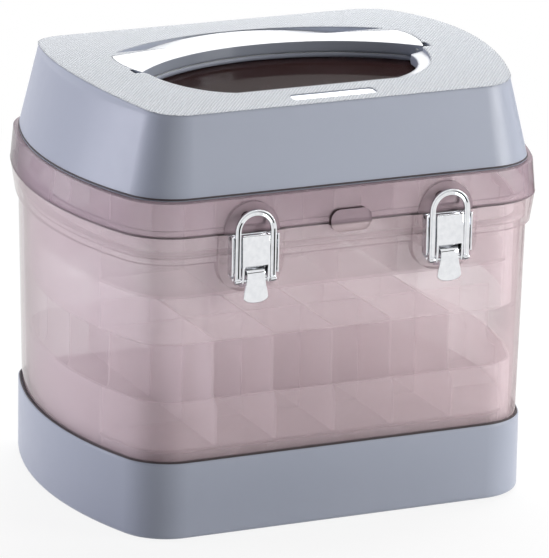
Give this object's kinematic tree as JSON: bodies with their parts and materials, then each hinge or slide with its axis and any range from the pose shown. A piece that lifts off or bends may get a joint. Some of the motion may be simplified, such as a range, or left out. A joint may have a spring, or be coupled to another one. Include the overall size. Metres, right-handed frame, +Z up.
{
  "type": "makeup storage case with handle",
  "caption": "Carry case for nail-polish bottles: smoky see-through body, grey domed lid with window and folding handle, chrome draw latches, lift-out divided trays.",
  "frame": {"origin": "middle of the footprint, on the floor the feet stand on", "axes": "+Z up, -Y towards the latches (the front), +X towards the case's right-hand latch as seen from the front"},
  "size_m": [0.2646, 0.2152, 0.2317],
  "materials": {
    "grey_abs": "satin",
    "smoky_clear": "clear",
    "frosted_clear": "frosted",
    "pearl": "gloss",
    "chrome": "polished",
    "steel": "satin",
    "plate_metal": "satin",
    "rubber": "matt"
  },
  "bodies": {
    "case": {"base_shell": "grey_abs", "base_screws": "steel", "body_shell": "smoky_clear", "foot_front_left": "rubber", "foot_front_right": "rubber", "foot_rear_left": "rubber", "foot_rear_right": "rubber", "latch_plate_left": "chrome", "latch_plate_right": "chrome", "latch_rivets_left": "chrome", "latch_rivets_right": "chrome", "lever_pin_left": "chrome", "lever_pin_right": "chrome", "hinge_pin_left": "steel", "hinge_pin_right": "steel"},
    "lid": {"lid_shell": "smoky_clear", "lid_cover": "grey_abs", "cover_screws": "steel", "name_plate": "plate_metal", "handle_pin_left": "steel", "handle_pin_right": "steel"},
    "handle": {"handle": "pearl"},
    "upper_tray": {"upper_tray": "frosted_clear", "upper_long_dividers": "frosted_clear", "upper_cross_dividers": "frosted_clear"},
    "lower_tray": {"lower_tray": "frosted_clear", "lower_long_dividers": "frosted_clear", "lower_cross_dividers": "frosted_clear"},
    "lever_left": {"latch_lever_left": "chrome", "loop_pin_left": "chrome"},
    "loop_left": {"latch_loop_left": "chrome"},
    "lever_right": {"latch_lever_right": "chrome", "loop_pin_right": "chrome"},
    "loop_right": {"latch_loop_right": "chrome"}
  },
  "joints": [
    {"name": "lid_hinge", "type": "hinge", "parent": "case", "child": "lid", "pos_m": [0, 0.1038, 0.1645], "axis": [-1, 0, 0], "range_deg": [0, 105]},
    {"name": "handle_hinge", "type": "hinge", "parent": "lid", "child": "handle", "pos_m": [0, -0.0125, 0.2285], "axis": [1, 0, 0], "range_deg": [0, 90]},
    {"name": "upper_tray_lift", "type": "slide", "parent": "case", "child": "upper_tray", "axis": [0, 0, 1], "range_m": [0, 0.0452]},
    {"name": "lower_tray_lift", "type": "slide", "parent": "case", "child": "lower_tray", "axis": [0, 0, 1], "range_m": [0, 0.0184]},
    {"name": "latch_lever_left", "type": "hinge", "parent": "case", "child": "lever_left", "pos_m": [-0.055, -0.1033, 0.1642], "axis": [-1, 0, 0], "range_deg": [0, 115]},
    {"name": "latch_loop_left", "type": "hinge", "parent": "lever_left", "child": "loop_left", "pos_m": [-0.055, -0.1056, 0.1415], "axis": [-1, 0, 0], "range_deg": [-98, 0]},
    {"name": "latch_lever_right", "type": "hinge", "parent": "case", "child": "lever_right", "pos_m": [0.055, -0.1033, 0.1642], "axis": [-1, 0, 0], "range_deg": [0, 115]},
    {"name": "latch_loop_right", "type": "hinge", "parent": "lever_right", "child": "loop_right", "pos_m": [0.055, -0.1056, 0.1415], "axis": [-1, 0, 0], "range_deg": [-98, 0]}
  ],
  "couplings": [
    {"joint": "upper_tray_lift", "follows": "lid_hinge", "m_per_rad": 0.0246},
    {"joint": "lower_tray_lift", "follows": "lid_hinge", "m_per_rad": 0.01},
    {"joint": "latch_loop_left", "follows": "latch_lever_left", "ratio": -0.85},
    {"joint": "latch_loop_right", "follows": "latch_lever_right", "ratio": -0.85}
  ]
}
